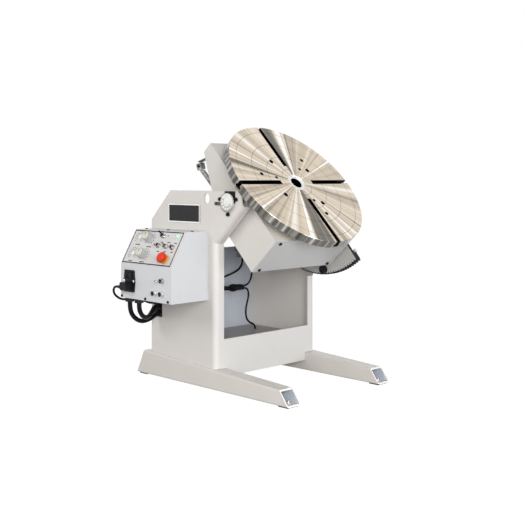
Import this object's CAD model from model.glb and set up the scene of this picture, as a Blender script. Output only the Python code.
# %% [markdown]
# # A welding positioner, dressed as a studio portrait
# The machine tilts and turns a workpiece so that the weld always lies flat. Its solid parts come
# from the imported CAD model, which stays exactly as it is. This script adds what the solids lack:
# paint, turned steel, rubber, printed marks, flexible leads, light and a camera.

import math

import bmesh
import bpy
from mathutils import Matrix, Vector


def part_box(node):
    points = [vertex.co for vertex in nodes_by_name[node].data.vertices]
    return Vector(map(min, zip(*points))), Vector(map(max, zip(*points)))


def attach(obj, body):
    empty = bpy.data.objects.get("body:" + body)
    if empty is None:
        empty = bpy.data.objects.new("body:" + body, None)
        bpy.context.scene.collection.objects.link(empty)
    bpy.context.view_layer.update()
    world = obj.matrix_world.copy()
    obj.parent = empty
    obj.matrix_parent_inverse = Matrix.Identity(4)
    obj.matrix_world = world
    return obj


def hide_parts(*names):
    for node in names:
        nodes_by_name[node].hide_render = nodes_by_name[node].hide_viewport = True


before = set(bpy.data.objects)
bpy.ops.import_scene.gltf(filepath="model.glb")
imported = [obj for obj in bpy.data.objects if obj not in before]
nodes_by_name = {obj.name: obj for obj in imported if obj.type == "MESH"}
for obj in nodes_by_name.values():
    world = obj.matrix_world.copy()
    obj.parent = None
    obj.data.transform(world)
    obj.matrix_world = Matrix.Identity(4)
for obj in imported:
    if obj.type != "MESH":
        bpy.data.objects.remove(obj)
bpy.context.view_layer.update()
print("pieces in the solid model:", len(nodes_by_name))

# %% [markdown]
# ## One set of coordinates
# The solid model was drawn with the front panel's face at X = 0 and the machine's middle at
# Y = 0, in millimetres. Working in those numbers is easier than in the stored frame, so one small
# function moves a drawing point into the stored frame. The front panel's own box gives the move.
# The tilting head stands at a slant, so it has a second function, whose directions lean with it.

# %% From drawing millimetres to scene metres
panel_low, panel_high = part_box("front_panel")
front_face = panel_high[0]
middle = (panel_low[1] + panel_high[1]) / 2
MM = 0.001


def at(x, y, z):
    return Vector((front_face + x * MM, middle + y * MM, z * MM))


CONSOLE_FRONT = -329.0
INLET_X = -206.0
SLOPE_LOW_Z = 334.5
SLOPE_LEAN = math.radians(30)
AXIS_X, AXIS_Z, REST_TILT = 49.0, 504.0, math.radians(46.4)
TABLE_FACE, SPINDLE_X = 81.0, 4.0


def head_way(u, y, n):
    """A direction of the tilt head, given along the slope, across, and out of the table."""
    x = u * math.cos(REST_TILT) + n * math.sin(REST_TILT)
    z = n * math.cos(REST_TILT) - u * math.sin(REST_TILT)
    return Vector((x, y, z))


def head(u, y, n):
    """A point of the tilt head, in millimetres from where the tilt axis crosses the middle."""
    return at(AXIS_X, 0, AXIS_Z) + head_way(u, y, n) * MM


print("front face at", round(front_face, 4), "middle at", round(middle, 4))

# %% [markdown]
# ## The camera
# The machine is seen level, from the front left, a little above its middle and from about two and
# a half metres. A level camera keeps the uprights upright. The middle of the view lies below the
# horizon, so the lens is shifted down instead of the camera being tipped.

# %% Place the camera
LENS_MM, SENSOR_MM = 62.2, 36.0
SHIFT_RIGHT, SHIFT_UP = 0.04483, -0.15849
EYE = (1772.3, -1842.7, 565.7)
HEADING = 45.738
camera_data = bpy.data.cameras.new("portrait_camera")
camera_data.sensor_width = SENSOR_MM
camera_data.lens = LENS_MM
camera_data.shift_x, camera_data.shift_y = SHIFT_RIGHT, SHIFT_UP
camera_data.clip_start = 0.05
camera_data.clip_end = 100
camera = bpy.data.objects.new("portrait_camera", camera_data)
bpy.context.scene.collection.objects.link(camera)
camera.location = at(*EYE)
camera.rotation_euler = (math.radians(90), 0, math.radians(HEADING))
bpy.context.scene.camera = camera
bpy.context.scene.view_settings.view_transform = "Standard"
print("lens", LENS_MM, "mm, eye at", [round(value, 3) for value in camera.location])

# %% [markdown]
# ## A finish is more than a colour
# A real surface varies. Paint has a faint texture from the spray gun, steel keeps the tool's
# marks, and rubber turns a little grey where it is rubbed. Every material here starts from the
# same few nodes: noise read from the object's own coordinates changes the colour, the roughness
# and the bump by a small amount. A helper makes that start, and each finish adds what it needs.

# %% Helpers that start a finish
def start_finish(name):
    finish = bpy.data.materials.new(name)
    finish.use_nodes = True
    tree = finish.node_tree
    surface = tree.nodes["Principled BSDF"]
    place = tree.nodes.new("ShaderNodeTexCoord")
    return finish, tree, surface, place.outputs["Object"]


def noise(tree, place, scale, detail=3.0, rough=0.5):
    texture = tree.nodes.new("ShaderNodeTexNoise")
    texture.inputs["Scale"].default_value = scale
    texture.inputs["Detail"].default_value = detail
    texture.inputs["Roughness"].default_value = rough
    tree.links.new(place, texture.inputs["Vector"])
    return texture.outputs["Fac"]


def between(tree, factor, low, high):
    """A number that runs from low to high as the factor runs over the noise's middle."""
    spread = tree.nodes.new("ShaderNodeMapRange")
    spread.inputs["From Min"].default_value = 0.3
    spread.inputs["From Max"].default_value = 0.7
    spread.inputs["To Min"].default_value = low
    spread.inputs["To Max"].default_value = high
    tree.links.new(factor, spread.inputs["Value"])
    return spread.outputs["Result"]


def colour_steps(tree, factor, steps):
    """A colour ramp from a list of (position, colour) steps."""
    ramp = tree.nodes.new("ShaderNodeValToRGB")
    stops = ramp.color_ramp.elements
    while len(stops) < len(steps):
        stops.new(0.5)
    for stop, (position, colour) in zip(stops, steps):
        stop.position = position
        stop.color = (*colour, 1)
    tree.links.new(factor, ramp.inputs["Fac"])
    return ramp.outputs["Color"]


def blend_colours(tree, factor, first, second):
    return colour_steps(tree, factor, ((0.3, first), (0.7, second)))


def bumped(tree, surface, height, distance, strength):
    bump = tree.nodes.new("ShaderNodeBump")
    bump.inputs["Strength"].default_value = strength
    bump.inputs["Distance"].default_value = distance
    tree.links.new(height, bump.inputs["Height"])
    tree.links.new(bump.outputs["Normal"], surface.inputs["Normal"])


def shade(colour, factor):
    return tuple(min(1.0, part * factor) for part in colour)


print("helpers ready for noise, colour and bump")

# %% [markdown]
# ## Node arithmetic
# Some finishes depend on where a point lies: streaks that run out from a spindle, grease beyond a
# radius, paint inside a tube. Shader nodes can work that out, but adding and linking them one by
# one is long. Each helper here adds one node, links its inputs and gives back its output.

# %% Helpers for node arithmetic
def constant(tree, vector):
    node = tree.nodes.new("ShaderNodeCombineXYZ")
    for socket, part in zip(node.inputs, vector):
        socket.default_value = part
    return node.outputs["Vector"]


def vector_math(tree, work, first, second=None, result="Vector"):
    node = tree.nodes.new("ShaderNodeVectorMath")
    node.operation = work
    tree.links.new(first, node.inputs[0])
    if second is not None:
        tree.links.new(second, node.inputs[1])
    return node.outputs[result]


def number_math(tree, work, first, second=0.0, third=0.0):
    """One Math node; each input is a socket or a plain number."""
    node = tree.nodes.new("ShaderNodeMath")
    node.operation = work
    for socket, value in zip(node.inputs, (first, second, third)):
        if isinstance(value, (int, float)):
            socket.default_value = value
        else:
            tree.links.new(value, socket)
    return node.outputs["Value"]


def part_of(tree, vector, axis):
    node = tree.nodes.new("ShaderNodeSeparateXYZ")
    tree.links.new(vector, node.inputs["Vector"])
    return node.outputs[axis]


def face_way(tree, axis):
    """One part of the surface's own direction, in the object's coordinates."""
    return part_of(tree, tree.nodes["Texture Coordinate"].outputs["Normal"], axis)


def pick_colour(tree, factor, first, second):
    """A colour mix; each colour is a socket or a plain triple."""
    node = tree.nodes.new("ShaderNodeMix")
    node.data_type = "RGBA"
    tree.links.new(factor, node.inputs["Factor"])
    colours = [socket for socket in node.inputs if socket.type == "RGBA"]
    for socket, value in zip(colours, (first, second)):
        if isinstance(value, tuple):
            socket.default_value = (*value, 1)
        else:
            tree.links.new(value, socket)
    return next(socket for socket in node.outputs if socket.type == "RGBA")


print("helpers ready for node arithmetic")

# %% [markdown]
# ## Leads and conduits
# Two thick conduits leave the console's underside and bend into the body. A mains lead makes a
# small loop from its plug. Inside, thin leads fan out to the drives. Each is a smooth NURBS curve
# with a round bevel. Its control points are the same route that the solid tube follows.

# %% Rubber for leads
def lead_finish(name, colour, gloss):
    finish, tree, surface, place = start_finish(name)
    cloud = noise(tree, place, 60, 4)
    tree.links.new(blend_colours(tree, cloud, shade(colour, 0.8), shade(colour, 1.5)),
                   surface.inputs["Base Color"])
    tree.links.new(between(tree, noise(tree, place, 35), gloss - 0.06, gloss + 0.08),
                   surface.inputs["Roughness"])
    bumped(tree, surface, noise(tree, place, 1800, 2), 0.0001, 0.4)
    surface.inputs["Specular IOR Level"].default_value = 0.1
    return finish


black_lead = lead_finish("black_lead", (0.005, 0.005, 0.006), 0.42)
black_conduit = lead_finish("black_conduit", (0.004, 0.004, 0.007), 0.36)
print("lead finishes:", black_lead.name, black_conduit.name)


# %% Draw each lead along its route
def draw_lead(name, route, radius, length, finish):
    """Draws a lead of the given length in metres, from where it leaves a piece to its far end."""
    curve = bpy.data.curves.new(name, "CURVE")
    curve.dimensions = "3D"
    curve.bevel_depth = radius * MM
    curve.bevel_resolution = 5
    curve.resolution_u = 10
    curve.use_fill_caps = True
    line = curve.splines.new("NURBS")
    line.points.add(len(route) - 1)
    for point, spot in zip(line.points, route):
        point.co = (*at(*spot), 1)
    line.order_u = 3
    line.use_endpoint_u = True
    lead = bpy.data.objects.new(name + "_line", curve)
    bpy.context.scene.collection.objects.link(lead)
    curve.materials.append(finish)
    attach(lead, "stand")
    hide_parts(name)
    print(name, "is", length, "m long")


GLAND_LOW = 227.5
INNER_FACE = -194.0
TERMINAL_LOW = 325.925
CONDUIT, LEAD, THIN_LEAD = 6.5, 3.2, 2.8
draw_lead("conduit_a", (
    (-228, -312, GLAND_LOW), (-228, -312, 204), (-229, -298, 182), (-232, -272, 167),
    (-236, -240, 168), (-238, -208, 182), (-239, -172, 197), (-238, -132, 212),
    (-234, -88, 228), (-225, -42, 240), (-211, -6, 243), (-192, 16, 238), (-192, 38, 238),
), CONDUIT, 0.411, black_conduit)
draw_lead("conduit_b", (
    (-187, -312, GLAND_LOW), (-187, -312, 210), (-190, -302, 194), (-198, -284, 183),
    (-211, -260, 181), (-225, -238, 190), (-234, -219, 205), (-234, -200, 205),
), CONDUIT, 0.156, black_conduit)
draw_lead("mains_lead", (
    (-237, -346, 270.5), (-249.5, -346, 270.5), (-259, -345, 262), (-263, -341, 250),
    (-261, -332, 239), (-254, -321, 232), (-248, -308, 231), (-248, -288, 230),
    (-250, -262, 227), (-253, -238, 219), (-255, -218, 211), (-255, -200, 211),
), LEAD, 0.191, black_lead)
draw_lead("upper_lead", (
    (-229, INNER_FACE, 208), (-229, -172, 208), (-228, -124, 228), (-222, -72, 249),
    (-210, -18, 262), (-197, 32, 276), (-196, 72, 288), (-205, 96, 300),
    (-208, 104, 312), (-208, 104, TERMINAL_LOW),
), LEAD, 0.338, black_lead)
draw_lead("lead_up", (
    (-192, 90, 241), (-192, 104, 241), (-191, 115, 248), (-188, 121, 262), (-185, 123.5, 284),
    (-184, 124, 304), (-184, 124, TERMINAL_LOW),
), THIN_LEAD, 0.106, black_lead)
draw_lead("lead_down", (
    (-192, 90, 234), (-192, 102, 234), (-192, 111.5, 227), (-192, 115, 214),
    (-192.5, 112, 197), (-193, 105, 176), (-192, 102, 155), (-191, 106, 137),
    (-190, 118, 126), (-190, 132, 121), (-190, 143, 110), (-190, 143, 90),
), THIN_LEAD, 0.180, black_lead)

# %% [markdown]
# ## Powder coat
# The stand and the tilting box are coated sheet steel: a warm off-white on the sides, and a cooler
# white on what faces the front. Powder coat is smooth with a very fine orange peel. Dust and
# handling tint it slightly, in patches a hand wide. The floor shelf lies in shade and is darker,
# and the drives have a grey enamel.

# %% Mix the coats of paint
def sprayed(tree, surface, place, gloss=0.36):
    """The skin that every coat of paint has: gloss, orange peel and a thin clear layer."""
    tree.links.new(between(tree, noise(tree, place, 18), gloss - 0.05, gloss + 0.07),
                   surface.inputs["Roughness"])
    bumped(tree, surface, noise(tree, place, 420, 2), 0.00012, 0.35)
    surface.inputs["Coat Weight"].default_value = 0.1
    surface.inputs["Coat Roughness"].default_value = 0.3
    surface.inputs["Specular IOR Level"].default_value = 0.4


def coat_tint(tree, place, colour):
    patches = noise(tree, place, 5, 4, 0.6)
    return blend_colours(tree, patches, shade(colour, 0.965), shade(colour, 1.02))


def powder_coat(name, colour, gloss=0.36):
    finish, tree, surface, place = start_finish(name)
    tree.links.new(coat_tint(tree, place, colour), surface.inputs["Base Color"])
    sprayed(tree, surface, place, gloss)
    return finish


warm_white = powder_coat("warm_white_coat", (0.63, 0.605, 0.58))
front_white = powder_coat("front_coat", (0.672, 0.66, 0.645))
box_white = powder_coat("tilt_box_coat", (0.60, 0.58, 0.55))
cover_grey = powder_coat("front_cover_coat", (0.53, 0.53, 0.53))
console_white = powder_coat("console_coat", (0.60, 0.612, 0.632))
panel_white = powder_coat("panel_film", (0.60, 0.59, 0.585), 0.30)
rear_blue = powder_coat("rear_wall_coat", (0.56, 0.60, 0.67))
shelf_grey = powder_coat("shelf_coat", (0.24, 0.23, 0.225))
enamel = powder_coat("motor_enamel", (0.11, 0.12, 0.13), 0.4)
print("coats mixed:", sum("coat" in finish.name for finish in bpy.data.materials))

# %% [markdown]
# ## Turned steel
# The faceplate is faced on a lathe. The tool leaves rings finer than a hair, so the steel reflects
# in streaks that run out from the centre: an anisotropic surface, whose highlight is drawn out
# along the radius. That direction is worked out from the position, with two cross products, and
# it turns with the table. A lathe's face also shows broad dark and light fans, where the feed
# changed. They are a tint that depends on the same direction, so a short list gives their angles.

# %% Streaks that run out from the spindle
# Angle in degrees, half width in degrees, and how much lighter or darker.
STREAKS = ((161.5, 3.6, 0.45), (157.0, 1.6, 0.3), (-24.5, 1.8, 0.45), (5.0, 2.4, 0.22),
           (17.0, 2.6, 0.16), (-126.5, 1.3, 0.42), (112.5, 1.3, 0.42), (-66.0, 1.3, 0.38),
           (78.0, 6.0, 0.12), (174.0, 4.5, -0.5), (169.0, 3.0, -0.25), (-10.0, 7.0, -0.3),
           (-17.0, 6.0, -0.2), (-113.0, 3.4, -0.3), (38.0, 1.2, -0.35), (29.0, 1.0, -0.3))
STREAK_CORE = 0.3


def streak_tint(tree, way, tint):
    """Adds the streaks to the tint; each is a narrow fan about one direction."""
    for angle, half_width, strength in STREAKS:
        turn = math.radians(angle)
        aim = constant(tree, head_way(math.cos(turn), math.sin(turn), 0))
        fan = tree.nodes.new("ShaderNodeMapRange")
        fan.inputs["From Min"].default_value = math.cos(math.radians(half_width))
        fan.inputs["From Max"].default_value = math.cos(math.radians(STREAK_CORE * half_width))
        fan.inputs["To Max"].default_value = strength
        tree.links.new(vector_math(tree, "DOT_PRODUCT", way, aim, "Value"), fan.inputs["Value"])
        tint = number_math(tree, "ADD", tint, fan.outputs["Result"])
    return tint


print("streaks on the faceplate:", len(STREAKS))

# %% [markdown]
# ## Dark edges
# The slots and holes have small chamfers that hold dirt, and their walls see little light. A mask
# darkens a border along each slot and round each hole, and everything that lies below the face.
# The ledge in the middle stays bright, and the rim has its own grey bands.

# %% Where the steel is dark
SLOT_EDGE = 7.4
SLOT_START = 61.0
HOLE_EDGE = 1.4
# Radius of the circle that the holes lie on, radius of a hole, and the holes' angles.
HOLES = ((90.0, 5.5, (30, 120, 210, 300)), (120.0, 4.5, (15, 135, 255)),
         (70.0, 3.5, (15, 135, 255)))
FACE_RADIUS, RIM_RADIUS = 213.5, 214.3
LEDGE_RADIUS, LEDGE_DEPTH = 29.5, 3.3
SKIN_DEPTH, BACK_DEPTH = 0.2, 22.5


def edge_mask(tree, place, out, radius):
    """The dark chamfers: a border along each slot and round each hole."""
    along = vector_math(tree, "DOT_PRODUCT", out, constant(tree, head_way(1, 0, 0)), "Value")
    across = vector_math(tree, "DOT_PRODUCT", out, constant(tree, head_way(0, 1, 0)), "Value")
    nearest = number_math(tree, "MINIMUM", number_math(tree, "ABSOLUTE", along),
                          number_math(tree, "ABSOLUTE", across))
    mask = number_math(tree, "MULTIPLY", number_math(tree, "LESS_THAN", nearest, SLOT_EDGE * MM),
                       number_math(tree, "GREATER_THAN", radius, SLOT_START * MM))
    for circle, hole, angles in HOLES:
        for angle in map(math.radians, angles):
            spot = constant(tree, head(SPINDLE_X + circle * math.cos(angle),
                                       circle * math.sin(angle), TABLE_FACE))
            away = vector_math(tree, "DISTANCE", place, spot, "Value")
            near = number_math(tree, "LESS_THAN", away, (hole + HOLE_EDGE) * MM)
            mask = number_math(tree, "MAXIMUM", mask, near)
    return mask


def ledge_and_groove(tree, place, out, radius, height):
    """Two masks: the bright ledge round the bore, and all that is dark."""
    sunk = number_math(tree, "LESS_THAN", height, -SKIN_DEPTH * MM)
    inside = number_math(tree, "LESS_THAN", radius, FACE_RADIUS * MM)
    above = number_math(tree, "GREATER_THAN", height, -BACK_DEPTH * MM)
    ledge = number_math(tree, "MULTIPLY",
                        number_math(tree, "LESS_THAN", radius, LEDGE_RADIUS * MM),
                        number_math(tree, "GREATER_THAN", height, -LEDGE_DEPTH * MM))
    ledge = number_math(tree, "MULTIPLY", ledge, sunk)
    groove = number_math(tree, "MULTIPLY", number_math(tree, "MULTIPLY", sunk, inside), above)
    groove = number_math(tree, "MULTIPLY", groove, number_math(tree, "SUBTRACT", 1.0, ledge))
    edges = number_math(tree, "MULTIPLY", edge_mask(tree, place, out, radius), inside)
    return ledge, number_math(tree, "MAXIMUM", groove, edges)


print("holes with dark edges:", sum(len(angles) for _, _, angles in HOLES))

# %% Steel that follows the spindle
FAN_SCALE, RAY_SCALE, RING_SCALE = 3.2, 22, 900
OIL_DARK = (0.020, 0.018, 0.017)
LEDGE_STEEL = (0.80, 0.79, 0.77)
RIM_BANDS = ((0.34, (0.06, 0.056, 0.052)), (0.54, (0.21, 0.20, 0.185)), (0.68, (0.58, 0.57, 0.55)))


def ring_noise(tree, radius):
    rings = tree.nodes.new("ShaderNodeTexNoise")
    rings.noise_dimensions = "1D"
    rings.inputs["Scale"].default_value = RING_SCALE
    rings.inputs["Detail"].default_value = 2
    tree.links.new(radius, rings.inputs["W"])
    return rings.outputs["Fac"]


def turned_steel(name, dark, mid, warm, light, gloss, grain):
    finish, tree, surface, place = start_finish(name)
    axis = constant(tree, head_way(0, 0, 1))
    out = vector_math(tree, "SUBTRACT", place, constant(tree, head(SPINDLE_X, 0, TABLE_FACE)))
    around = vector_math(tree, "CROSS_PRODUCT", axis, out)
    tangent = vector_math(tree, "NORMALIZE", vector_math(tree, "CROSS_PRODUCT", around, axis))
    radius = vector_math(tree, "LENGTH", around, result="Value")
    height = vector_math(tree, "DOT_PRODUCT", out, axis, "Value")
    ring = ring_noise(tree, radius)
    fan = noise(tree, tangent, FAN_SCALE, 3, 0.55)
    clouds = noise(tree, place, 14, 5, 0.6)
    rays = noise(tree, tangent, RAY_SCALE, 2, 0.6)
    tint = number_math(tree, "MULTIPLY_ADD", fan, 1.5, -0.75)
    for pattern, strength in ((rays, 0.55), (clouds, 0.2), (ring, 0.12)):
        centred = number_math(tree, "MULTIPLY_ADD", pattern, strength, -strength / 2)
        tint = number_math(tree, "ADD", tint, centred)
    tint = streak_tint(tree, tangent, number_math(tree, "ADD", tint, 0.5))
    face = colour_steps(tree, tint, ((0.26, dark), (0.44, mid), (0.60, warm), (0.80, light)))
    ledge, groove = ledge_and_groove(tree, place, out, radius, height)
    rim = number_math(tree, "GREATER_THAN", radius, RIM_RADIUS * MM)
    bands = number_math(tree, "MULTIPLY_ADD", rays, 0.8, number_math(tree, "MULTIPLY", fan, 0.2))
    colour = pick_colour(tree, ledge, face, LEDGE_STEEL)
    colour = pick_colour(tree, rim, colour, colour_steps(tree, bands, RIM_BANDS))
    colour = pick_colour(tree, groove, colour, OIL_DARK)
    tree.links.new(colour, surface.inputs["Base Color"])
    rough = between(tree, ring, gloss - 0.05, gloss + 0.06)
    tree.links.new(number_math(tree, "MULTIPLY_ADD", groove, 0.35, rough),
                   surface.inputs["Roughness"])
    bumped(tree, surface, ring, 0.00004, 0.5)
    surface.inputs["Metallic"].default_value = 1.0
    surface.inputs["Anisotropic"].default_value = grain
    tree.links.new(tangent, surface.inputs["Tangent"])
    return finish


plate_steel = turned_steel("turned_plate", (0.19, 0.175, 0.155), (0.58, 0.50, 0.40),
                           (0.76, 0.655, 0.525), (0.99, 0.98, 0.95), 0.26, 0.85)
print("nodes in the turned steel:", len(plate_steel.node_tree.nodes))

# %% [markdown]
# ## Other metals and plastics
# Shafts and brackets are machined or rolled steel, gears are dark with grease in the teeth, and
# the small control parts are chrome, black plastic and coloured plastic. They share one helper,
# because only their colour, their gloss and the scale of their marks differ.

# %% Plain metals, plastics and rubber
def worked_metal(name, dark, light, gloss, scale=160):
    finish, tree, surface, place = start_finish(name)
    tree.links.new(blend_colours(tree, noise(tree, place, scale, 4), dark, light),
                   surface.inputs["Base Color"])
    tree.links.new(between(tree, noise(tree, place, scale / 3), gloss - 0.06, gloss + 0.08),
                   surface.inputs["Roughness"])
    bumped(tree, surface, noise(tree, place, scale * 6, 2), 0.00005, 0.4)
    surface.inputs["Metallic"].default_value = 1.0
    return finish


def moulded(name, colour, gloss, grain=900):
    finish, tree, surface, place = start_finish(name)
    tree.links.new(blend_colours(tree, noise(tree, place, 40, 3), shade(colour, 0.92),
                                 shade(colour, 1.06)), surface.inputs["Base Color"])
    tree.links.new(between(tree, noise(tree, place, 60), gloss - 0.04, gloss + 0.06),
                   surface.inputs["Roughness"])
    bumped(tree, surface, noise(tree, place, grain, 2), 0.00006, 0.35)
    surface.inputs["Specular IOR Level"].default_value = 0.16
    return finish


bright_steel = worked_metal("machined_steel", (0.42, 0.41, 0.40), (0.55, 0.54, 0.52), 0.34)
zinc = worked_metal("zinc_plate", (0.55, 0.55, 0.56), (0.70, 0.70, 0.71), 0.38, 90)
bolt_zinc = worked_metal("bolt_zinc", (0.80, 0.80, 0.80), (0.95, 0.95, 0.95), 0.3, 90)
chrome = worked_metal("plated_brass", (0.02, 0.02, 0.02), (0.80, 0.79, 0.77), 0.18, 330)
dark_steel = worked_metal("dark_steel", (0.04, 0.04, 0.035), (0.16, 0.155, 0.14), 0.4, 120)
arm_steel = worked_metal("arm_steel", (0.10, 0.10, 0.10), (0.50, 0.50, 0.49), 0.32, 70)
gear_black = worked_metal("greased_gear", (0.018, 0.018, 0.019), (0.05, 0.048, 0.045), 0.40, 120)
black_plastic = moulded("black_plastic", (0.007, 0.007, 0.010), 0.38)
black_steel = moulded("black_oxide", (0.006, 0.006, 0.007), 0.46)
black_rubber = moulded("black_rubber", (0.009, 0.009, 0.010), 0.62, 600)
knob_grey = moulded("knob_grey", (0.46, 0.485, 0.49), 0.42)
bright_white = moulded("bright_white", (0.92, 0.92, 0.91), 0.4)
cap_cream = moulded("cap_cream", (0.66, 0.61, 0.50), 0.38)
stop_red = moulded("stop_red", (0.72, 0.045, 0.012), 0.26)
collar_yellow = moulded("collar_yellow", (0.74, 0.30, 0.025), 0.4)
lamp_green = moulded("lamp_green", (0.62, 0.86, 0.74), 0.18)
scale_white = moulded("scale_white", (0.76, 0.76, 0.75), 0.34)
print_black = moulded("printed_black", (0.006, 0.006, 0.006), 0.5)
plate_dark = moulded("plate_dark", (0.022, 0.022, 0.024), 0.34)
print("finishes so far:", len(bpy.data.materials))

# %% [markdown]
# ## The sector gear has two looks
# Its flat face is a plain grey plate. The teeth and a narrow band beside them hold black grease.
# One material does both. A face that looks sideways, along the gear's axis, and lies within a
# radius of that axis is plate, and everything else is tooth.

# %% Grey plate and black teeth in one finish
GREASE_RADIUS = 212.6


def gear_finish():
    finish, tree, surface, place = start_finish("sector_plate_and_teeth")
    sideways = number_math(tree, "ABSOLUTE", face_way(tree, "Y"))
    from_axle = vector_math(tree, "SUBTRACT", place, constant(tree, at(AXIS_X, 0, AXIS_Z)))
    in_plane = vector_math(tree, "MULTIPLY", from_axle, constant(tree, (1, 0, 1)))
    reach = vector_math(tree, "LENGTH", in_plane, result="Value")
    plate = number_math(tree, "MULTIPLY", number_math(tree, "GREATER_THAN", sideways, 0.7),
                        number_math(tree, "LESS_THAN", reach, GREASE_RADIUS * MM))
    grey = blend_colours(tree, noise(tree, place, 12, 4), (0.42, 0.41, 0.40), (0.50, 0.49, 0.475))
    dark = blend_colours(tree, noise(tree, place, 150, 4), (0.006, 0.006, 0.006),
                         (0.022, 0.021, 0.020))
    tree.links.new(pick_colour(tree, plate, dark, grey), surface.inputs["Base Color"])
    tree.links.new(between(tree, noise(tree, place, 50), 0.5, 0.62), surface.inputs["Roughness"])
    bumped(tree, surface, noise(tree, place, 500, 2), 0.00006, 0.4)
    surface.inputs["Specular IOR Level"].default_value = 0.12
    return finish


sector_finish = gear_finish()
print("grease starts", GREASE_RADIUS, "mm from the tilt axis")


# %% [markdown]
# ## The legs are lighter at their open ends
# A leg is a painted box tube, cut slanting at its front. The cut edge catches the light, and the
# inside is a cooler colour than the outside, because only the light of the floor reaches it. The
# finish asks where a point lies across the leg, and which way its face looks.

# %% Paint for the legs
LEG_INSIDE = (161.6, 204.4)


def leg_finish(outside, inside, edge):
    finish, tree, surface, place = start_finish("leg_coat")
    across = number_math(tree, "ABSOLUTE",
                         number_math(tree, "SUBTRACT", part_of(tree, place, "Y"), middle))
    low, high = LEG_INSIDE
    within = number_math(tree, "MULTIPLY", number_math(tree, "GREATER_THAN", across, low * MM),
                         number_math(tree, "LESS_THAN", across, high * MM))
    sideways = number_math(tree, "GREATER_THAN",
                           number_math(tree, "ABSOLUTE", face_way(tree, "Y")), 0.7)
    cut_face = number_math(tree, "GREATER_THAN", face_way(tree, "X"), 0.5)
    coat = pick_colour(tree, number_math(tree, "MULTIPLY", within, sideways),
                       coat_tint(tree, place, outside), inside)
    tree.links.new(pick_colour(tree, cut_face, coat, edge), surface.inputs["Base Color"])
    sprayed(tree, surface, place)
    return finish


leg_white = leg_finish((0.61, 0.58, 0.545), (0.55, 0.60, 0.68), (0.88, 0.88, 0.87))
print("inside of a leg, across from the middle:", LEG_INSIDE)

# %% [markdown]
# ## Give every solid its finish
# One table says which solids take which finish, and one loop puts it on. A solid from the CAD
# model may get a new material, but its mesh stays as it is.

# %% Put the finishes on the solids
dress = {
    warm_white: ("left_side_panel", "right_side_panel"),
    front_white: ("front_panel",),
    leg_white: ("left_leg", "right_leg"),
    cover_grey: ("front_cover",),
    rear_blue: ("rear_panel",),
    shelf_grey: ("floor_shelf",),
    box_white: ("tilt_box",),
    console_white: ("console_shell",),
    panel_white: ("control_panel",),
    enamel: ("tilt_gearbox", "tilt_motor", "rotation_gearmotor"),
    plate_steel: ("faceplate",),
    bright_steel: ("tilt_bearings", "tilt_shafts", "spindle", "spindle_housing"),
    arm_steel: ("brush_arm",),
    dark_steel: ("scale_pointer",),
    zinc: ("tilt_drive_bracket", "round_connectors"),
    bolt_zinc: ("sector_screws",),
    chrome: ("toggle_bodies", "toggle_lever_1", "toggle_lever_2", "toggle_lever_3",
             "front_toggle_lever"),
    black_steel: ("bearing_screws", "cover_screws", "console_screws", "scale_back_plate"),
    gear_black: ("tilt_pinion", "rotation_pinion", "spindle_gear"),
    sector_finish: ("sector_gear",),
    black_plastic: ("inlet_module", "mains_rocker", "inlet_plug", "cable_glands",
                    "lead_connectors", "small_toggle_lever", "brush_holder"),
    black_rubber: ("foot_pads", "stop_bumper", "cable_entry"),
    knob_grey: ("upper_knob", "lower_knob"),
    stop_red: ("stop_button",),
    collar_yellow: ("stop_collar",),
    lamp_green: ("signal_lamp",),
    scale_white: ("tilt_scale",),
    plate_dark: ("name_plate",),
}
for finish, names in dress.items():
    for name in names:
        mesh = nodes_by_name[name].data
        mesh.materials.clear()
        mesh.materials.append(finish)
print("finished solids:", sum(len(names) for names in dress.values()))

# %% [markdown]
# ## Small pieces that the solids leave out
# Printed marks, knob caps and the rim of the bare plate are small things laid on a surface. Each
# is drawn flat near the origin with bmesh operators, in millimetres, and then moved to its place,
# so that the finished object sits at the origin and unturned. Slabs, discs, turned shapes, rings
# and lettering are all that it takes, so there is one helper for each.

# %% Helpers for added pieces
def slope_place(x, up, out=0.0):
    """Turns a flat drawing (x right, y up the slope, z out) onto the console's sloped face."""
    spot = at(x, CONSOLE_FRONT + up * math.sin(SLOPE_LEAN) - out * math.cos(SLOPE_LEAN),
              SLOPE_LOW_Z + up * math.cos(SLOPE_LEAN) + out * math.sin(SLOPE_LEAN))
    return Matrix.Translation(spot) @ Matrix.Rotation(math.radians(90) - SLOPE_LEAN, 4, "X")


def wall_place(x, z, y):
    """Turns a flat drawing onto a wall that looks towards the console side."""
    return Matrix.Translation(at(x, y, z)) @ Matrix.Rotation(math.radians(90), 4, "X")


def finish_piece(name, shape, place, finish, body, smooth=False):
    """Moves a shape drawn in millimetres to its place and hands it over as a finished piece."""
    bmesh.ops.scale(shape, vec=(MM, MM, MM), verts=shape.verts)
    bmesh.ops.transform(shape, matrix=place, verts=shape.verts)
    bmesh.ops.recalc_face_normals(shape, faces=shape.faces)
    mesh = bpy.data.meshes.new(name)
    shape.to_mesh(mesh)
    shape.free()
    for face in mesh.polygons:
        face.use_smooth = smooth
    mesh.materials.append(finish)
    piece = bpy.data.objects.new(name, mesh)
    bpy.context.scene.collection.objects.link(piece)
    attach(piece, body)
    print(name, "has", len(mesh.polygons), "faces and rides on", body)
    return piece


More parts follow.
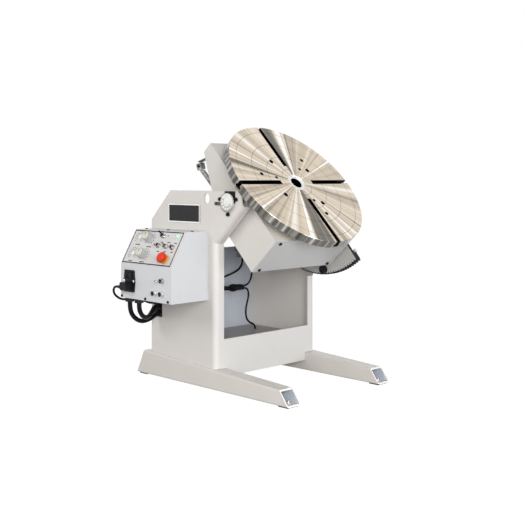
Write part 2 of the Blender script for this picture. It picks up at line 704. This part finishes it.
def add_slab(shape, x0, x1, y0, y1, thick, low=0.0, turn=0.0, about=(0, 0)):
    """Adds a thin flat slab, turned about a point of the drawing."""
    made = bmesh.ops.create_cube(shape, size=1.0)["verts"]
    bmesh.ops.scale(shape, vec=(x1 - x0, y1 - y0, thick), verts=made)
    bmesh.ops.translate(shape, vec=((x0 + x1) / 2, (y0 + y1) / 2, low + thick / 2), verts=made)
    if turn:
        bmesh.ops.rotate(shape, cent=(about[0], about[1], 0), verts=made,
                         matrix=Matrix.Rotation(math.radians(turn), 3, "Z"))
    return made


def add_disc(shape, x, y, radius, thick, low=0.0, sides=24, top=None):
    """Adds a round slab, or a taper if its top radius differs."""
    made = bmesh.ops.create_cone(shape, cap_ends=True, segments=sides, radius1=radius,
                                 radius2=radius if top is None else top, depth=thick)["verts"]
    bmesh.ops.translate(shape, vec=(x, y, low + thick / 2), verts=made)
    return made


def add_turned(shape, profile, sides):
    """Adds a turned shape: a round face, extruded and scaled from one (radius, height) on."""
    made = bmesh.ops.create_circle(shape, cap_ends=True, segments=sides,
                                   radius=profile[0][0])["verts"]
    bmesh.ops.translate(shape, vec=(0, 0, profile[0][1]), verts=made)
    face = made[0].link_faces[0]
    for (old_radius, old_height), (radius, height) in zip(profile, profile[1:]):
        grown = bmesh.ops.extrude_face_region(shape, geom=[face])["geom"]
        verts = [part for part in grown if isinstance(part, bmesh.types.BMVert)]
        face = next(part for part in grown if isinstance(part, bmesh.types.BMFace))
        ratio = radius / old_radius
        bmesh.ops.scale(shape, vec=(ratio, ratio, 1), verts=verts)
        bmesh.ops.translate(shape, vec=(0, 0, height - old_height), verts=verts)
        made = made + verts
    return made


def add_ring(shape, x, y, inner, outer, thick, low=0.0, sides=48):
    """Adds a flat ring: a circle's edges extruded inwards, then lifted."""
    circle = bmesh.ops.create_circle(shape, segments=sides, radius=outer)["verts"]
    edges = list({edge for vert in circle for edge in vert.link_edges})
    band = bmesh.ops.extrude_edge_only(shape, edges=edges)["geom"]
    inside = [part for part in band if isinstance(part, bmesh.types.BMVert)]
    bmesh.ops.scale(shape, vec=(inner / outer, inner / outer, 1), verts=inside)
    faces = [part for part in band if isinstance(part, bmesh.types.BMFace)]
    top = bmesh.ops.extrude_face_region(shape, geom=faces)["geom"]
    lifted = [part for part in top if isinstance(part, bmesh.types.BMVert)]
    bmesh.ops.translate(shape, vec=(0, 0, thick), verts=lifted)
    bmesh.ops.translate(shape, vec=(x, y, low), verts=circle + inside + lifted)


def add_text(shape, words, x, y, height, thick=0.12, low=0.0):
    """Adds generic lettering as a mesh, centred on a point of the drawing."""
    curve = bpy.data.curves.new("lettering", "FONT")
    curve.body = words
    curve.size = height
    curve.align_x = "CENTER"
    curve.align_y = "CENTER"
    curve.extrude = thick / 2
    curve.resolution_u = 2
    text = bpy.data.objects.new("lettering", curve)
    bpy.context.scene.collection.objects.link(text)
    bpy.context.view_layer.update()
    mesh = bpy.data.meshes.new_from_object(text)
    mesh.transform(Matrix.Translation((x, y, low + thick / 2)))
    shape.from_mesh(mesh)
    bpy.data.objects.remove(text)
    bpy.data.curves.remove(curve)
    bpy.data.meshes.remove(mesh)


print("helpers ready for slabs, discs, turned shapes, rings and text")

# %% [markdown]
# ## The control panel's print
# A thin black line frames the panel. Dots stand round each knob, and a numbered scale stands to
# its left. Short bars lie where a maker would print what a control does. The print is a raised
# film, an eighth of a millimetre thick, so that it is real geometry and survives an export.

# %% Print the control panel
PANEL_LEFT, PANEL_RIGHT = -241.5, -36.5
PANEL_BOTTOM, PANEL_TOP = 2.0, 102.5
PANEL_SHEET = 1.5
FRAME_LINE = 3.0
KNOBS = {"upper_knob": (-165.0, 79.0), "lower_knob": (-161.0, 29.0)}
SIDE_SCALES = ((-211.5, 81.4), (-210.6, 32.0))
# Where the middle of each bar lies, and how long it is.
LABEL_BARS = ((-207.5, 58.3, 20), (-156.5, 53.8, 20), (-208.0, 8.4, 15), (-158.0, 8.0, 20),
              (-81.0, 70.7, 12), (-53.0, 69.7, 10), (-110.6, 42.8, 10), (-82.3, 43.5, 10),
              (-54.0, 43.3, 9), (-128.0, 97.2, 16), (-94.8, 90.1, 4))
BAR_HEIGHT = 2.4
FILM_THICK = 0.12
SCALE_STEPS, FIRST_STEP, STEP_TURN = 11, 225, -27

film = bmesh.new()
for x0, x1, y0, y1 in (
    (PANEL_LEFT, PANEL_RIGHT, PANEL_BOTTOM, PANEL_BOTTOM + FRAME_LINE),
    (PANEL_LEFT, PANEL_RIGHT, PANEL_TOP - FRAME_LINE, PANEL_TOP),
    (PANEL_LEFT, PANEL_LEFT + FRAME_LINE, PANEL_BOTTOM, PANEL_TOP),
    (PANEL_RIGHT - FRAME_LINE, PANEL_RIGHT, PANEL_BOTTOM, PANEL_TOP),
):
    add_slab(film, x0, x1, y0, y1, FILM_THICK)


def print_scale(shape, x, up, dot_ring, number_ring=None):
    for step in range(SCALE_STEPS):
        angle = math.radians(FIRST_STEP + STEP_TURN * step)
        add_disc(shape, x + dot_ring * math.cos(angle), up + dot_ring * math.sin(angle), 1.5,
                 FILM_THICK, sides=10)
        if number_ring:
            add_text(shape, str(step), x + number_ring * math.cos(angle),
                     up + number_ring * math.sin(angle), 5.0)


for knob_x, knob_up in KNOBS.values():
    print_scale(film, knob_x, knob_up, 19.0)
for scale_x, scale_up in SIDE_SCALES:
    print_scale(film, scale_x, scale_up, 16.5, 11.0)
for x, up, wide in LABEL_BARS:
    add_slab(film, x - wide / 2, x + wide / 2, up - BAR_HEIGHT / 2, up + BAR_HEIGHT / 2,
             FILM_THICK)
finish_piece("panel_print", film, slope_place(0, 0, PANEL_SHEET), print_black, "stand")
centres = bmesh.new()
for scale_x, scale_up in SIDE_SCALES:
    add_disc(centres, scale_x, scale_up, 4.6, 0.4)
finish_piece("side_scale_centres", centres, slope_place(0, 0, PANEL_SHEET), bright_white,
             "stand")

# %% [markdown]
# ## Knobs, stop button and sockets
# A knob is turned: a round face extruded up and scaled, step by step. Its flutes come from pulling
# every second pair of its side points inwards. It ends in a cream cap with a black pointer line.
# The stop button is turned in the same way, as a low dome. These pieces replace plainer solids.
# On the console's front, two black faces fill the round sockets, and two screws hold the inlet.

# %% Turn the knobs
KNOB_BASE = PANEL_SHEET + 0.6
KNOB_HEIGHT = 20.0
KNOB_PROFILE = ((14.0, 0), (14.0, 3), (13.6, 3.4), (12.6, KNOB_HEIGHT - 0.6), (12.0, KNOB_HEIGHT))
CAP_PROFILE = ((10.7, -0.6), (10.7, 0.5), (9.9, 1.0))
KNOB_SIDES = 48
FLUTE_SCALE, FLUTE_START = 0.9, 3.2
for name, (knob_x, knob_up) in KNOBS.items():
    body = bmesh.new()
    for vert in add_turned(body, KNOB_PROFILE, KNOB_SIDES):
        turn = math.atan2(vert.co.y, vert.co.x) / math.tau
        if vert.co.z > FLUTE_START and round(turn * KNOB_SIDES) % 4 < 2:
            vert.co.xy *= FLUTE_SCALE
    knob = finish_piece(name + "_fluted", body, slope_place(knob_x, knob_up, KNOB_BASE),
                        knob_grey, name)
    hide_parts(name)
    cap = bmesh.new()
    add_turned(cap, CAP_PROFILE, 40)
    finish_piece(name + "_cap", cap, slope_place(knob_x, knob_up, KNOB_BASE + KNOB_HEIGHT),
                 cap_cream, name)
    line = bmesh.new()
    add_slab(line, -0.9, 0.9, 1.0, 9.0, 0.15, turn=12)
    finish_piece(name + "_line", line, slope_place(knob_x, knob_up, KNOB_BASE + KNOB_HEIGHT + 1),
                 print_black, name)

# %% Dome of the stop button
STOP_SPOT = (-69.0, 21.0)
STOP_BASE = PANEL_SHEET + 10.0
DOME_PROFILE = ((8.0, -14), (8.0, 0), (13.4, 0.2), (14.8, 2.0), (15.0, 4.0), (14.4, 6.4),
                (12.6, 8.4), (9.6, 9.6), (5.0, 10.2))
RING_INSIDE, RING_OUTSIDE, RING_HEIGHT = 8.6, 12.6, 5.0
dome = bmesh.new()
add_turned(dome, DOME_PROFILE, 64)
stop_dome = finish_piece("stop_dome", dome, slope_place(*STOP_SPOT, STOP_BASE), stop_red,
                         "stop_button", smooth=True)
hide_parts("stop_button")
ring_shape = bmesh.new()
add_ring(ring_shape, 0, 0, RING_INSIDE, RING_OUTSIDE, RING_HEIGHT)
stop_ring = finish_piece("stop_ring", ring_shape, slope_place(*STOP_SPOT, PANEL_SHEET),
                         collar_yellow, "stand")
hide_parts("stop_collar")

# %% Sockets and screw heads on the console's front
SOCKET_XS, SOCKET_Z = (-99.5, -69.5), 263.0
INLET_Z, EAR_REACH, INLET_FLANGE = 287.5, 20.0, 3.0
HEAD_PROFILE = ((3.5, 0), (3.5, 1.2), (2.4, 2.0))
sockets = bmesh.new()
for socket_x in SOCKET_XS:
    add_disc(sockets, socket_x, SOCKET_Z, 6.2, 0.3, low=8.0, sides=32)
finish_piece("socket_faces", sockets, wall_place(0, 0, CONSOLE_FRONT), black_plastic, "stand")
heads = bmesh.new()
for ear in (-EAR_REACH, EAR_REACH):
    made = add_turned(heads, HEAD_PROFILE, 24)
    bmesh.ops.translate(heads, vec=(ear, 0, INLET_FLANGE), verts=made)
finish_piece("inlet_screw_heads", heads, wall_place(INLET_X, INLET_Z, CONSOLE_FRONT), bolt_zinc,
             "stand")

# %% [markdown]
# ## The tilt scale's marks
# The white disc on the tilt shaft has a line every ten degrees, a number at every third line, a
# black rim and a black centre. It turns with the head past a fixed pointer, so its marks ride on
# the head.

# %% Mark the tilt scale
SCALE_FACE = -207.0
MARKS, FIRST_MARK, ZERO_MARK, NUMBER_RING = 19, 150, 3, 13.5
marks = bmesh.new()
for mark in range(MARKS):
    inner = 20.0 if mark % 3 else 17.5
    add_slab(marks, inner, 23.5, -0.6, 0.6, FILM_THICK, turn=FIRST_MARK + 10 * mark)
for mark in range(0, MARKS, 3):
    angle = math.radians(FIRST_MARK + 10 * mark)
    add_text(marks, str(10 * abs(mark - ZERO_MARK)), NUMBER_RING * math.cos(angle),
             NUMBER_RING * math.sin(angle), 6.0)
add_ring(marks, 0, 0, 23.9, 24.95, FILM_THICK)
add_disc(marks, 0, 0, 3.6, 0.5)
finish_piece("tilt_scale_marks", marks, wall_place(AXIS_X, AXIS_Z, SCALE_FACE), print_black,
             "tilt_head")

# %% [markdown]
# ## The bare plate
# The dark plate on the side has a pale line round its edge and nothing on it. An inset face would
# give the line too, but four thin slabs, laid end to side, are simpler to place and to change.

# %% Rim of the bare plate
PLATE_LEFT, PLATE_RIGHT, PLATE_LOW, PLATE_HIGH = -194.0, -63.0, 446.0, 496.0
PLATE_FACE, RIM_WIDE = -201.5, 2.6
inner_low, inner_high = PLATE_LOW + RIM_WIDE, PLATE_HIGH - RIM_WIDE
rim_shape = bmesh.new()
for x0, x1, y0, y1 in (
    (PLATE_LEFT, PLATE_RIGHT, PLATE_LOW, inner_low),
    (PLATE_LEFT, PLATE_RIGHT, inner_high, PLATE_HIGH),
    (PLATE_LEFT, PLATE_LEFT + RIM_WIDE, inner_low, inner_high),
    (PLATE_RIGHT - RIM_WIDE, PLATE_RIGHT, inner_low, inner_high),
):
    add_slab(rim_shape, x0, x1, y0, y1, 0.3)
finish_piece("bare_plate_rim", rim_shape, wall_place(0, 0, PLATE_FACE), bright_white, "stand")

# %% [markdown]
# ## The return unit's clamp
# On the back of the tilting box, a small clamp on a thin bracket holds the spring arm that brings
# the welding current back. The bracket is a foot and a post, and the clamp is a steel block with a
# black screw. They are drawn flat along the box's slanting back and replace a plainer solid.

# %% Clamp, bracket and screw
BACK_HIGH, BACK_RUN = (-195.0, -8.0), (170.0, -85.0)
CLAMP_Y, CLAMP_WIDE = -140.0, 16.0
# Each slab runs from one place to another along the back, and from one height to another.
FOOT, POST, BLOCK = (6, 44, 0.2, 3), (12, 15, 2.5, 44), (18, 36, 36, 54)
SCREW_X, SCREW_OUT = 27, 45
back_run = head_way(BACK_RUN[0], 0, BACK_RUN[1]).normalized()
across_box = Vector((0, 1, 0))
back_out = across_box.cross(back_run)
back_place = Matrix.Translation(head(BACK_HIGH[0], CLAMP_Y, BACK_HIGH[1])) @ Matrix(
    (back_run, back_out, across_box)).transposed().to_4x4()
clamp = bmesh.new()
add_slab(clamp, *FOOT, CLAMP_WIDE, low=-CLAMP_WIDE / 2)
add_slab(clamp, *POST, CLAMP_WIDE, low=-CLAMP_WIDE / 2)
bracket = finish_piece("clamp_bracket", clamp, back_place, dark_steel, "tilt_head")
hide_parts("brush_holder")
block_shape = bmesh.new()
add_slab(block_shape, *BLOCK, CLAMP_WIDE, low=-CLAMP_WIDE / 2)
finish_piece("clamp_block", block_shape, back_place, arm_steel, "tilt_head")
screw_shape = bmesh.new()
add_disc(screw_shape, SCREW_X, SCREW_OUT, 3.4, 2, low=-10.5)
finish_piece("clamp_screw", screw_shape, back_place, black_steel, "tilt_head")

# %% [markdown]
# ## Bolts in the leg ends
# A bolt holds each leg's front foot. Its hexagon head shows inside the open end of the tube, with
# the end of its thread on top.

# %% Bolts of the front feet
LEG_MIDDLE, BOLT_X, TUBE_FLOOR = 183.0, 246, 4.3
bolts = bmesh.new()
for side in (-LEG_MIDDLE, LEG_MIDDLE):
    add_disc(bolts, BOLT_X, side, 7.0, 5.0, low=TUBE_FLOOR, sides=6)
    add_disc(bolts, BOLT_X, side, 3.4, 6.0, low=9.0, sides=16)
finish_piece("leg_end_bolts", bolts, Matrix.Translation(at(0, 0, 0)), bolt_zinc, "stand")

# %% [markdown]
# ## Floor, background and light
# The floor and the world are white to the camera, and bare metal mirrors that white, through the
# Light Path's outputs. The floor mixes a little plain diffuse into the white, so the machine
# still stands in a faint shadow. The light on the object is soft and even. A dim world does a
# part, and broad lamps stand off the front corner, the console side, the far side, the rear and
# low in front. Two of them only fill the shade, so they are kept out of all gloss.

# %% Build the stage
FLOOR_RADIUS, FLOOR_GLOW, GLOW_SHARE = 40, 1.13, 0.88
floor_shape = bmesh.new()
bmesh.ops.create_circle(floor_shape, cap_ends=True, segments=64, radius=FLOOR_RADIUS)
floor_mesh = bpy.data.meshes.new("floor")
floor_shape.to_mesh(floor_mesh)
floor_shape.free()
floor = bpy.data.objects.new("floor", floor_mesh)
bpy.context.scene.collection.objects.link(floor)
floor_finish = bpy.data.materials.new("floor_white")
floor_finish.use_nodes = True
floor_tree = floor_finish.node_tree
floor_tree.nodes.remove(floor_tree.nodes["Principled BSDF"])
glow = floor_tree.nodes.new("ShaderNodeEmission")
glow.inputs["Color"].default_value = (1, 1, 1, 1)
glow.inputs["Strength"].default_value = FLOOR_GLOW
chalk = floor_tree.nodes.new("ShaderNodeBsdfDiffuse")
chalk.inputs["Color"].default_value = (0.4, 0.4, 0.4, 1)
seen = floor_tree.nodes.new("ShaderNodeLightPath").outputs
whiteness = number_math(floor_tree, "MULTIPLY", number_math(
    floor_tree, "MAXIMUM", seen["Is Camera Ray"], seen["Is Glossy Ray"]), GLOW_SHARE)
blend = floor_tree.nodes.new("ShaderNodeMixShader")
for light, socket in ((whiteness, "Fac"), (chalk.outputs["BSDF"], 1), (glow.outputs[0], 2)):
    floor_tree.links.new(light, blend.inputs[socket])
floor_tree.links.new(blend.outputs["Shader"],
                     floor_tree.nodes["Material Output"].inputs["Surface"])
floor_mesh.materials.append(floor_finish)
print("floor glow", FLOOR_GLOW, "for a share of", GLOW_SHARE)

# %% Light the world
world = bpy.data.worlds.new("studio")
bpy.context.scene.world = world
world.use_nodes = True
sky = world.node_tree
sky.nodes.clear()
path = sky.nodes.new("ShaderNodeLightPath").outputs
direct = number_math(sky, "MAXIMUM", path["Is Camera Ray"], path["Is Glossy Ray"])
direct = number_math(sky, "MAXIMUM", direct, path["Is Transmission Ray"])
soft = sky.nodes.new("ShaderNodeBackground")
soft.inputs["Color"].default_value = (0.97, 0.98, 1.0, 1)
soft.inputs["Strength"].default_value = 0.34
white = sky.nodes.new("ShaderNodeBackground")
white.inputs["Color"].default_value = (1, 1, 1, 1)
white.inputs["Strength"].default_value = 1.0
choose = sky.nodes.new("ShaderNodeMixShader")
for light, socket in ((direct, "Fac"), (soft.outputs[0], 1), (white.outputs[0], 2)):
    sky.links.new(light, choose.inputs[socket])
last = sky.nodes.new("ShaderNodeOutputWorld")
sky.links.new(choose.outputs["Shader"], last.inputs["Surface"])


def add_lamp(name, spot, target, side, power, colour, mirrored=True):
    """Adds a broad lamp; one that isn't mirrored fills the shade and shows in no gloss."""
    lamp_data = bpy.data.lights.new(name, "AREA")
    lamp_data.shape = "RECTANGLE"
    lamp_data.size, lamp_data.size_y = side
    lamp_data.energy = power
    lamp_data.color = colour
    lamp = bpy.data.objects.new(name, lamp_data)
    bpy.context.scene.collection.objects.link(lamp)
    lamp.location = spot
    lamp.visible_glossy = mirrored
    lamp.rotation_euler = (Vector(target) - Vector(spot)).to_track_quat("-Z", "Y").to_euler()
    print(name, power, "W")


add_lamp("key_lamp", (2.6, -2.1, 1.0), (0, 0, 0.35), (1.8, 1.3), 86, (1.0, 0.985, 0.965))
add_lamp("side_lamp", (-0.8, -3.2, 2.1), (0, 0, 0.5), (1.6, 1.2), 38, (1.0, 0.98, 0.95))
add_lamp("far_side_lamp", (-1.0, 3.2, 1.6), (0, 0, 0.4), (1.8, 1.4), 46, (1.0, 0.985, 0.965),
         mirrored=False)
add_lamp("rear_lamp", (-3.2, -0.4, 1.3), (0, 0, 0.4), (1.6, 1.2), 30, (0.98, 0.99, 1.0),
         mirrored=False)
add_lamp("front_lamp", (3.2, 0.8, 0.45), (0, 0, 0.4), (1.2, 0.7), 24, (0.95, 0.97, 1.0))

# %% [markdown]
# ## Check the size and finish
# The dressed machine has to stay inside the solid model's box. Both boxes go to a small file, and
# the last line checks every piece and writes the table of what rides on what.

# %% Write both boxes and finish
bpy.context.view_layer.update()
